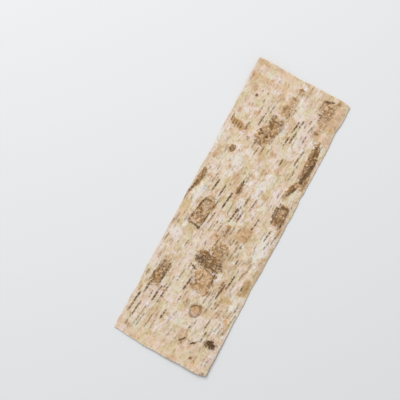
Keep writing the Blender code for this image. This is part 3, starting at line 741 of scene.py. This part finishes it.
def addKnots(across, along, fields):  # the raised ring of the healed knot and the pit of the dead one
    px, py = ovalOffset(across, along, knot["place"], (knot["halfWidth"], knot["halfLength"]), 0)
    wobble = knot["wobble"] * noiseOn(across, along, knot["wobblePitch"], 11.5)
    ring = np.abs(np.hypot(px, py) - 1 + wobble) * knot["halfWidth"] / knot["rim"]
    fields["height"] += knot["rim"] * 0.8 * np.sqrt(np.clip(1 - ring**2, 0, 1))
    fields["ring"] = smooth(ring, 2.5, 1.2)
    px, py = ovalOffset(across, along, pit["place"], (pit["halfWidth"], pit["halfLength"]), 0)
    torn = sum(strength * noiseOn(across, along, pitch, layer) for pitch, layer, strength in pit["torn"])
    reach = np.hypot(px, py) + torn
    bowl = np.clip(1 - np.clip(reach, 0, 1) ** 2, 0, 1)
    fields["height"] -= pit["depth"] * bowl * (0.85 + 0.8 * noiseOn(across, along, pit["floorPitch"], 13.5))
    # dark core and brown rim: partly the dead knot's own colour, partly painted shade deepening the pit
    fields["dash"] = np.maximum(fields["dash"], pit["dark"] * smooth(reach, 1.30, 0.55))
    fields["ring"] = np.maximum(fields["ring"], smooth(reach, 2.00, 1.05))


def addTints(across, along, fields):  # the broad tinted areas, laid over each other
    pitch = tintForm["raggedPitch"]
    ragged = noiseOn(across, along, pitch, 4.5)
    ragged += 0.5 * noiseOn(across, along, pitch / tintForm["finerBy"], 8.5)
    for middleAcross, middleAlong, halfWidth, halfLength, lean, name, strength in tints:
        px, py = ovalOffset(across, along, (middleAcross, middleAlong), (halfWidth, halfLength), lean)
        wander = tintForm["ragged"] * min(1.0, max(halfWidth, halfLength) / tintForm["raggedFrom"])
        depth = 1 - np.hypot(px, py) + wander * ragged
        layOver(fields["tint"], name, strength ** tintForm["boost"] * smooth(depth, 0, tintForm["edge"]))
    broken = 0.75 + noiseOn(across, along, knot["ringPitch"], 3.5)
    layOver(fields["tint"], "darkBrown", fields["ring"] * np.clip(broken, *knot["ringShares"]))


def layOver(tint, name, share):  # a named colour over the tint, by a share for each place
    tint[:, :3] += share[:, None] * (np.array(screenColour(name)) - tint[:, :3])
    tint[:, 3] = 1 - (1 - tint[:, 3]) * (1 - share)


def screenColour(name):  # a named colour as linear light
    return [(v / 255 / 12.92 if v <= 10 else ((v / 255 + 0.055) / 1.055) ** 2.4) for v in colours[name]]


def barkFields(across, along):  # what the outer side is like at each place
    count = len(across)
    fields = {name: np.zeros(count) for name in ("height", "bark", "crack", "dash")}
    fields["rough"] = np.full(count, -1.0)
    fields["tint"] = np.tile(np.array([*screenColour("cream"), 0.0]), (count, 1))
    addRoughPatches(across, along, fields)
    addIslands(across, along, fields)
    addLines(across, along, fields)
    addKnots(across, along, fields)
    addTints(across, along, fields)
    for number, (pitch, high) in enumerate(sheet["waves"]):
        fields["height"] += high * noiseOn(across, along, pitch, number + 1.5)
    return fields


def selectOnly(piece):
    bpy.ops.object.select_all(action="DESELECT")
    piece.select_set(True)
    bpy.context.view_layer.objects.active = piece


def selectFaces(piece, wanted):  # from object mode: marks the faces that an edit-mode tool works on
    mesh = piece.data
    mesh.vertices.foreach_set("select", np.zeros(len(mesh.vertices), bool))
    mesh.edges.foreach_set("select", np.zeros(len(mesh.edges), bool))
    mesh.polygons.foreach_set("select", wanted)


def faceMiddles(piece):
    middles = np.empty(3 * len(piece.data.polygons))
    piece.data.polygons.foreach_get("center", middles)
    return middles.reshape(-1, 3)


def addBlank(name, cellsAcross, cellsAlong, height):  # a flat grid from the corner of the sheet
    bpy.ops.object.select_all(action="DESELECT")
    bpy.ops.mesh.primitive_grid_add(
        x_subdivisions=cellsAcross,
        y_subdivisions=cellsAlong,
        size=1,
        location=(sheet["width"] / 2, sheet["length"] / 2, height),
    )
    blank = bpy.context.object
    blank.name = name
    blank.scale = (sheet["width"], sheet["length"], 1)
    bpy.ops.object.transform_apply(location=True, rotation=False, scale=True)
    return blank


def refine(blank, reach):  # quarters the cells that hold fine relief, but none at the rim
    middles = faceMiddles(blank)
    rim = 1.01 * sheet["width"] / sheet["cellsAcross"]
    fromRim = np.minimum(np.minimum(middles[:, 0], sheet["width"] - middles[:, 0]),
                         np.minimum(middles[:, 1], sheet["length"] - middles[:, 1]))
    selectFaces(blank, nearRelief(middles[:, 0], middles[:, 1], reach) & (fromRim > rim))
    bpy.ops.object.mode_set(mode="EDIT")
    bpy.ops.mesh.select_mode(type="FACE")
    bpy.ops.mesh.subdivide(number_cuts=1)
    bpy.ops.object.mode_set(mode="OBJECT")


def selectRim():  # in edit mode: the open border and nothing else
    bpy.ops.mesh.select_mode(type="EDGE")
    bpy.ops.mesh.select_all(action="DESELECT")
    bpy.ops.mesh.select_non_manifold(extend=False, use_wire=False, use_boundary=True, use_multi_face=False,
                                     use_non_contiguous=False, use_verts=False)


def makeBlankSheet():  # the flat blank: fine outer side, layered rim, coarse inner side, closed
    outer = addBlank("barkSheet", sheet["cellsAcross"], sheet["cellsAlong"], 0)
    refine(outer, sheet["refineOnce"])
    refine(outer, sheet["refineTwice"])
    bpy.ops.object.mode_set(mode="EDIT")
    selectRim()
    step = sheet["thickness"] / (cut["layers"] + 1)
    for _ in range(cut["layers"]):
        bpy.ops.mesh.extrude_region_move(TRANSFORM_OT_translate={"value": (0, 0, -step)})
    bpy.ops.object.mode_set(mode="OBJECT")
    inner = addBlank("innerSide", sheet["cellsAcross"] // sheet["coarserBelow"],
                     sheet["cellsAlong"] // sheet["coarserBelow"], -sheet["thickness"])
    bpy.ops.object.mode_set(mode="EDIT")
    selectRim()
    bpy.ops.mesh.subdivide(number_cuts=sheet["coarserBelow"] - 1)
    bpy.ops.object.mode_set(mode="OBJECT")
    outer.select_set(True)
    bpy.context.view_layer.objects.active = outer
    bpy.ops.object.join()
    bpy.ops.object.mode_set(mode="EDIT")
    selectRim()
    bpy.ops.mesh.bridge_edge_loops()
    bpy.ops.mesh.select_all(action="SELECT")
    bpy.ops.mesh.quads_convert_to_tris()
    bpy.ops.mesh.normals_make_consistent(inside=False)
    bpy.ops.object.mode_set(mode="OBJECT")
    return outer


def layerInset(across, along, share):  # how far each paper layer in the cut edge stands back
    layer = np.round(share * (cut["layers"] + 1))
    back = np.array([random.Random(int(k)).random() for k in range(cut["layers"] + 2)])[layer.astype(int)]
    wander = 0.5 + 0.5 * noiseOn(across + along, layer * cut["layerPitch"], cut["layerPitch"])
    inEdge = (share > 0.01) & (share < 0.99)
    return np.where(inEdge, cut["layerStep"] * (cut["layerLeast"] + back) * wander, 0)


def shapeSheet(piece):  # turns the flat blank into the warped, rough sheet, and keeps its fields
    mesh = piece.data
    flat = np.empty(3 * len(mesh.vertices))
    mesh.vertices.foreach_get("co", flat)
    flat = flat.reshape(-1, 3)
    share = np.clip(-flat[:, 2] / sheet["thickness"], 0, 1)  # 0 on the outer side, 1 on the inner side
    across, along = outlined(flat[:, 0] / sheet["width"], flat[:, 1] / sheet["length"])
    fields = barkFields(across, along)
    inner = innerHeight(across, along)
    thinner = sheet["thinnerBy"] * rise(across, sheet["width"] - sheet["thinnerReach"], sheet["width"])
    outer = inner + sheet["thickness"] - thinner + fields["height"]
    back = layerInset(across, along, share)
    atSide = np.minimum(flat[:, 0], sheet["width"] - flat[:, 0]) < sheet["onRim"]
    atEnd = np.minimum(flat[:, 1], sheet["length"] - flat[:, 1]) < sheet["onRim"]
    x = across - sheet["width"] / 2 - np.where(atSide, back * np.sign(flat[:, 0] - sheet["width"] / 2), 0)
    y = along - sheet["length"] / 2 - np.where(atEnd, back * np.sign(flat[:, 1] - sheet["length"] / 2), 0)
    x = np.interp(x, (x.min(), x.max()), (sheetLow[0], sheetHigh[0]))
    y = np.interp(y, (y.min(), y.max()), (sheetLow[1], sheetHigh[1]))
    z = np.minimum(outer * (1 - share) + inner * share, sheetHigh[2])
    mesh.vertices.foreach_set("co", np.column_stack((x, y, z)).ravel())
    for name in ("rough", "bark", "crack", "dash"):
        keepField(mesh, name, fields[name])
    keepField(mesh, "layer", share)
    tint = mesh.attributes.new("tint", "FLOAT_COLOR", "POINT")
    tint.data.foreach_set("color", fields["tint"].ravel())
    mesh.update()


def keepField(mesh, name, values):
    mesh.attributes.new(name, "FLOAT", "POINT").data.foreach_set("value", values.astype(np.float32))


def addNode(tree, kind, inputs, **settings):  # an input takes a plain value or the socket that feeds it
    made = tree.nodes.new("ShaderNode" + kind)
    for name, value in settings.items():
        setattr(made, name, value)
    for name, value in inputs.items():
        feed(tree, made.inputs[name], value)
    return made


def feed(tree, socket, value):  # sets a plain value, or links the socket that gives it
    if isinstance(value, bpy.types.NodeSocket):
        tree.links.new(value, socket)
    else:
        socket.default_value = value


def math2(tree, operation, first, second=0.0):
    return addNode(tree, "Math", {0: first, 1: second}, operation=operation).outputs[0]


def stretched(tree, place, factors):
    return addNode(tree, "VectorMath", {0: place, 1: factors}, operation="MULTIPLY").outputs[0]


def between(tree, value, start, end):  # a soft step from 0 at start to 1 at end
    inputs = {"Value": value, "From Min": start, "From Max": end}
    return addNode(tree, "MapRange", inputs, interpolation_type="SMOOTHSTEP").outputs[0]


def mixColours(tree, share, under, over, blend="MIX"):
    mixed = addNode(tree, "Mix", {0: share, 6: under, 7: over}, data_type="RGBA", blend_type=blend)
    return mixed.outputs[2]


def named(name):  # a named colour for a socket
    return (*screenColour(name), 1.0)


def colourRamp(tree, value, stops):  # stops are (place, colour name)
    ramp = addNode(tree, "ValToRGB", {"Fac": value})
    band = ramp.color_ramp
    while len(band.elements) < len(stops):
        band.elements.new(0.5)
    for element, (place, name) in zip(band.elements, stops):
        element.position = place
        element.color = named(name)
    return ramp.outputs["Color"]


def fieldOf(tree, name, output="Fac"):
    return addNode(tree, "Attribute", {}, attribute_name=name).outputs[output]


def summed(tree, first, *weighted):  # a start value plus each (socket, weight)
    for socket, weight in weighted:
        first = math2(tree, "ADD", first, math2(tree, "MULTIPLY", socket, weight))
    return first


def cloudOn(tree, place, factors, detail, roughness, distortion=0.0):
    inputs = {"Vector": stretched(tree, place, factors), "Scale": 1.0, "Detail": detail,
              "Roughness": roughness, "Distortion": distortion}
    return addNode(tree, "TexNoise", inputs).outputs["Fac"]


def makeGrainGroup():  # fine streaks and flecks along the grain, for every side of the bark
    group = bpy.data.node_groups.new("barkGrain", "ShaderNodeTree")
    group.interface.new_socket("Place", in_out="INPUT", socket_type="NodeSocketVector")
    group.interface.new_socket("Coarseness", in_out="INPUT", socket_type="NodeSocketFloat")
    for name in ("Streaks", "Flecks", "Height"):
        group.interface.new_socket(name, in_out="OUTPUT", socket_type="NodeSocketFloat")
    start = group.nodes.new("NodeGroupInput")
    end = group.nodes.new("NodeGroupOutput")
    scaled = addNode(group, "VectorMath", {0: start.outputs["Place"]}, operation="SCALE")
    group.links.new(start.outputs["Coarseness"], scaled.inputs["Scale"])
    place = scaled.outputs[0]
    streaks = cloudOn(group, place, (950, 55, 300), 4.0, 0.6)
    flecks = cloudOn(group, place, (1100, 620, 800), 3.0, 0.7)
    height = summed(group, 0.0, (streaks, 0.7), (flecks, 0.5))
    group.links.new(streaks, end.inputs["Streaks"])
    group.links.new(flecks, end.inputs["Flecks"])
    group.links.new(height, end.inputs["Height"])
    return group


def startMaterial(name):  # with its tree, its shader and the place turned so that Y follows the grain
    material = bpy.data.materials.new(name)
    material.use_nodes = True
    tree = material.node_tree
    shader = tree.nodes["Principled BSDF"]
    place = addNode(tree, "TexCoord", {}).outputs["Object"]
    grain = addNode(tree, "Mapping", {"Vector": place, "Rotation": (0, 0, grainLean)}).outputs[0]
    return material, tree, shader, grain


def addGrain(tree, group, place, coarseness):
    grain = tree.nodes.new("ShaderNodeGroup")
    grain.node_tree = group
    tree.links.new(place, grain.inputs["Place"])
    grain.inputs["Coarseness"].default_value = coarseness
    return grain.outputs


def setFinish(tree, shader, colour, roughness, specular):  # roughness and colour may be sockets too
    feed(tree, shader.inputs["Base Color"], colour)
    feed(tree, shader.inputs["Roughness"], roughness)
    shader.inputs["Specular IOR Level"].default_value = specular


def tinted(tree, colour, strength):  # the sheet's own tinted areas, laid over a colour
    share = math2(tree, "MULTIPLY", fieldOf(tree, "tint", "Alpha"), strength)
    return mixColours(tree, share, colour, fieldOf(tree, "tint", "Color"))


def addBump(tree, shader, height, strength, distance):
    bump = addNode(tree, "Bump", {"Height": height, "Strength": strength, "Distance": distance})
    tree.links.new(bump.outputs[0], shader.inputs["Normal"])


def flakesOn(tree, place, factors):  # a random tone for each torn flake of paper
    cells = addNode(tree, "TexVoronoi", {"Vector": stretched(tree, place, factors), "Scale": 1.0},
                    voronoi_dimensions="2D")
    return addNode(tree, "SeparateColor", {"Color": cells.outputs["Color"]}).outputs["Red"]


# The outer side: what each tone starts from and how much each pattern adds to it
outerLook = {
    "paper": {"start": -1.13, "clouds": 1.50, "puffs": 0.46, "largeFlakes": 0.38, "smallFlakes": 0.22,
              "streaks": 0.12, "longStreaks": 0.60},
    "shade": {"start": -0.03, "puffs": 0.46, "streaks": 0.14, "longStreaks": 0.18},
    "rough": {"start": -0.39, "bark": 1.0, "flecks": 0.80, "puffs": 0.40},
    "roughEdge": {"start": -0.72, "rough": 1.0, "flecks": 0.45, "puffs": 1.0},
    "mark": {"start": -0.25, "dash": 1.0, "flecks": 0.50},
    "steps": {"start": 0.0, "height": 1.0, "largeFlakes": 0.45, "smallFlakes": 0.35},
    "greener": 0.35,  # how greenish some of the paper is
    "tintOnPaper": 0.84,  # how strongly the tinted areas show
    "tintOnRough": 0.65,
    "specks": 0.42,  # how dark the fine specks are
    "roughness": 0.66,
    "rougherPatches": 0.22,  # what a rough patch adds to it
    "specular": 0.35,
    "bump": 0.55,
    "bumpHeight": 0.00022,
}


def toneOf(tree, patterns, name):  # the sum that outerLook gives for a tone
    weights = dict(outerLook[name])
    return summed(tree, weights.pop("start"), *((patterns[key], weight) for key, weight in weights.items()))


def makeOuterBark(group):  # papery layers peeled to many depths, rough brown patches and dark lenticels
    material, tree, shader, grain = startMaterial("birchOuterSide")
    fine = addGrain(tree, group, grain, 1.0)
    wander = addNode(tree, "TexNoise", {"Vector": grain, "Scale": 260.0, "Detail": 5.0, "Roughness": 0.6})
    ragged = addNode(tree, "VectorMath", {0: wander.outputs["Color"], 1: (0.0075, 0.0100, 0.0), 2: grain},
                     operation="MULTIPLY_ADD").outputs[0]
    patterns = {name: fieldOf(tree, name) for name in ("bark", "rough", "dash")}
    patterns.update({name.lower(): fine[name] for name in ("Streaks", "Flecks", "Height")})
    patterns["clouds"] = cloudOn(tree, grain, (150, 105, 0), 3.0, 0.55, 0.5)
    patterns["puffs"] = cloudOn(tree, grain, (430, 320, 3), 4.0, 0.6, 0.6)
    patterns["largeFlakes"] = flakesOn(tree, ragged, (105, 62, 0))
    patterns["smallFlakes"] = flakesOn(tree, ragged, (310, 190, 0))
    patterns["longStreaks"] = cloudOn(tree, grain, (640, 55, 5), 3.0, 0.6)

    # the paper: how many layers have peeled off, and whether what shows is pinkish or greenish
    stops = ((0.12, "tan"), (0.28, "sand"), (0.44, "beige"), (0.58, "cream"), (0.74, "pink"),
             (0.90, "white"))
    paper = colourRamp(tree, toneOf(tree, patterns, "paper"), stops)
    hue = cloudOn(tree, grain, (90, 60, 7), 2.0, 0.5)
    greener = math2(tree, "MULTIPLY", between(tree, hue, 0.50, 0.62), outerLook["greener"])
    paper = mixColours(tree, greener, paper, named("greenish"))
    paper = tinted(tree, paper, outerLook["tintOnPaper"])
    wash = cloudOn(tree, grain, (105, 75, 11), 2.0, 0.5)
    for start, end, name in ((0.50, 0.61, "washGreen"), (0.50, 0.39, "washPink")):
        paper = mixColours(tree, between(tree, wash, start, end), paper, named(name), "MULTIPLY")
    shadow = colourRamp(tree, toneOf(tree, patterns, "shade"), ((0.24, "shadeDeep"), (0.36, "shadeNone")))
    paper = mixColours(tree, 1.0, paper, shadow, "MULTIPLY")

    # old outer bark, from the dark bottom of the cracks to the pale tops of the scales
    # the peach end of this ramp is partly painted highlight on the scale tops, the umber in the cracks
    # partly painted shade
    stops = ((0.0, "darkBrown"), (0.25, "brown"), (0.55, "hazel"), (0.80, "tan"), (1.0, "peach"))
    rough = colourRamp(tree, toneOf(tree, patterns, "rough"), stops)
    rough = tinted(tree, rough, outerLook["tintOnRough"])
    rough = mixColours(tree, fieldOf(tree, "crack"), rough, named("umber"))
    inPatch = between(tree, toneOf(tree, patterns, "roughEdge"), -0.08, 0.20)
    colour = mixColours(tree, inPatch, paper, rough)

    # lenticels and splits, broken up into beads
    mark = toneOf(tree, patterns, "mark")
    inMark = mixColours(tree, between(tree, mark, 0.70, 1.10), named("cork"), named("umber"))
    colour = mixColours(tree, between(tree, mark, 0.02, 0.86), colour, inMark)

    specks = cloudOn(tree, grain, (900, 330, 0), 2.0, 0.5)
    dark = math2(tree, "MULTIPLY", between(tree, specks, 0.58, 0.72), outerLook["specks"])
    colour = mixColours(tree, dark, colour, named("brown"))
    worn = summed(tree, outerLook["roughness"], (inPatch, outerLook["rougherPatches"]))
    setFinish(tree, shader, colour, worn, outerLook["specular"])
    addBump(tree, shader, toneOf(tree, patterns, "steps"), outerLook["bump"], outerLook["bumpHeight"])
    return material


edgeLook = {"bands": 1.0, "flecks": 0.35, "browner": -0.28, "roughness": 0.85, "specular": 0.3}


def makeCutEdge(group):  # the thin paper layers, pale outside and cinnamon inside
    material, tree, shader, grain = startMaterial("birchCutEdge")
    fine = addGrain(tree, group, grain, 1.4)
    layer = fieldOf(tree, "layer")
    wander = addNode(tree, "TexNoise", {"Vector": grain, "Scale": 60.0, "Detail": 3.0}).outputs["Fac"]
    stack = addNode(tree, "CombineXYZ", {"X": math2(tree, "MULTIPLY", layer, 9.0), "Y": wander}).outputs[0]
    bands = cloudOn(tree, stack, (1.6, 1.6, 1.6), 3.0, 0.5)
    tone = summed(tree, 0.0, (bands, edgeLook["bands"]), (fine["Flecks"], edgeLook["flecks"]),
                  (layer, edgeLook["browner"]))
    stops = ((0.20, "rust"), (0.36, "brown"), (0.48, "tan"), (0.62, "beige"), (0.80, "cream"))
    setFinish(tree, shader, colourRamp(tree, tone, stops), edgeLook["roughness"], edgeLook["specular"])
    addBump(tree, shader, math2(tree, "ADD", bands, fine["Height"]), 0.5, 0.0002)
    return material


innerLook = {"clouds": 0.75, "streaks": 0.35, "pores": 0.72, "roughness": 0.58, "specular": 0.4}


def makeInnerBark(group):  # the smooth cinnamon side that lay against the wood, with its own lenticels
    material, tree, shader, grain = startMaterial("birchInnerSide")
    fine = addGrain(tree, group, grain, 0.8)
    cloud = cloudOn(tree, grain, (45, 16, 0), 4.0, 0.5)
    tone = summed(tree, 0.0, (cloud, innerLook["clouds"]), (fine["Streaks"], innerLook["streaks"]))
    colour = colourRamp(tree, tone, ((0.35, "innerDark"), (0.52, "innerMiddle"), (0.72, "innerPale")))
    pores = addNode(tree, "TexVoronoi", {"Vector": stretched(tree, grain, (185, 34, 0)), "Scale": 1.0},
                    voronoi_dimensions="2D")
    mark = math2(tree, "SUBTRACT", 1.0, between(tree, pores.outputs["Distance"], 0.07, 0.16))
    share = math2(tree, "MULTIPLY", mark, innerLook["pores"])
    colour = mixColours(tree, share, colour, named("innerPore"))
    setFinish(tree, shader, colour, innerLook["roughness"], innerLook["specular"])
    addBump(tree, shader, summed(tree, 0.0, (fine["Height"], 0.5), (mark, -0.4)), 0.45, 0.0002)
    return material


def dressSheet(piece, sides):  # sides: for each face, 0 outer side, 1 cut edge, 2 inner side
    group = makeGrainGroup()
    for material in (makeOuterBark(group), makeCutEdge(group), makeInnerBark(group)):
        piece.data.materials.append(material)
    piece.data.polygons.foreach_set("material_index", sides)


def makeBarkSheet():
    piece = makeBlankSheet()
    print("blank sheet with", len(piece.data.polygons), "faces")
    below = -faceMiddles(piece)[:, 2]
    onInner = below > sheet["thickness"] - sheet["onRim"]
    sides = np.where(below < sheet["onRim"], 0, np.where(onInner, 2, 1))
    shapeSheet(piece)
    dressSheet(piece, sides)
    selectOnly(piece)
    bpy.ops.object.shade_smooth_by_angle(angle=sheet["smoothAngle"])
    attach(piece, "root")
    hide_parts("bark_sheet")
    print("bark sheet shaped and dressed")


# The table, the light and the camera
table = {"size": 4.0, "below": 0.0001, "roughness": 0.8, "specular": 0.2}
lights = {
    "keyPlace": (-1.31, 1.01, 2.00),
    "keySize": 1.6,
    "keyPower": 56.0,
    "fillStrength": 0.42,
}
camera = {
    "overPoint": (-0.0359, 0.0),  # the place on the table in the middle of the picture
    "fieldWidth": 0.394,  # how much of the table the picture's width takes in, at the sheet
    "lens": 70.0,
    "sensor": 36.0,
    "roll": math.radians(28.4),
}


def addTable():
    bpy.ops.object.select_all(action="DESELECT")
    bpy.ops.mesh.primitive_plane_add(size=table["size"], location=(0, 0, -table["below"]))
    top = bpy.context.object
    top.name = "table"
    material = bpy.data.materials.new("paleTable")
    material.use_nodes = True
    tree = material.node_tree
    setFinish(tree, tree.nodes["Principled BSDF"], named("table"), table["roughness"], table["specular"])
    top.data.materials.append(material)


def addLights():
    bpy.ops.object.light_add(type="AREA", location=lights["keyPlace"])
    key = bpy.context.object
    key.name = "keyLight"
    key.data.size = lights["keySize"]
    key.data.energy = lights["keyPower"]
    key.rotation_euler = Vector(lights["keyPlace"]).to_track_quat("Z", "Y").to_euler()
    world = bpy.data.worlds.new("softRoom")
    world.use_nodes = True
    background = world.node_tree.nodes["Background"]
    background.inputs["Color"].default_value = named("room")
    background.inputs["Strength"].default_value = lights["fillStrength"]
    bpy.context.scene.world = world
    bpy.context.scene.view_settings.view_transform = "Standard"


def addCamera():
    height = camera["fieldWidth"] * camera["lens"] / camera["sensor"]
    bpy.ops.object.camera_add(location=(*camera["overPoint"], height + sheet["thickness"]))
    view = bpy.context.object
    view.name = "overheadCamera"
    view.data.lens = camera["lens"]
    view.data.sensor_width = camera["sensor"]
    view.rotation_euler = (0, 0, camera["roll"])
    bpy.context.scene.camera = view


addCamera()
addTable()
addLights()
print("camera, table and light placed")
makeBarkSheet()
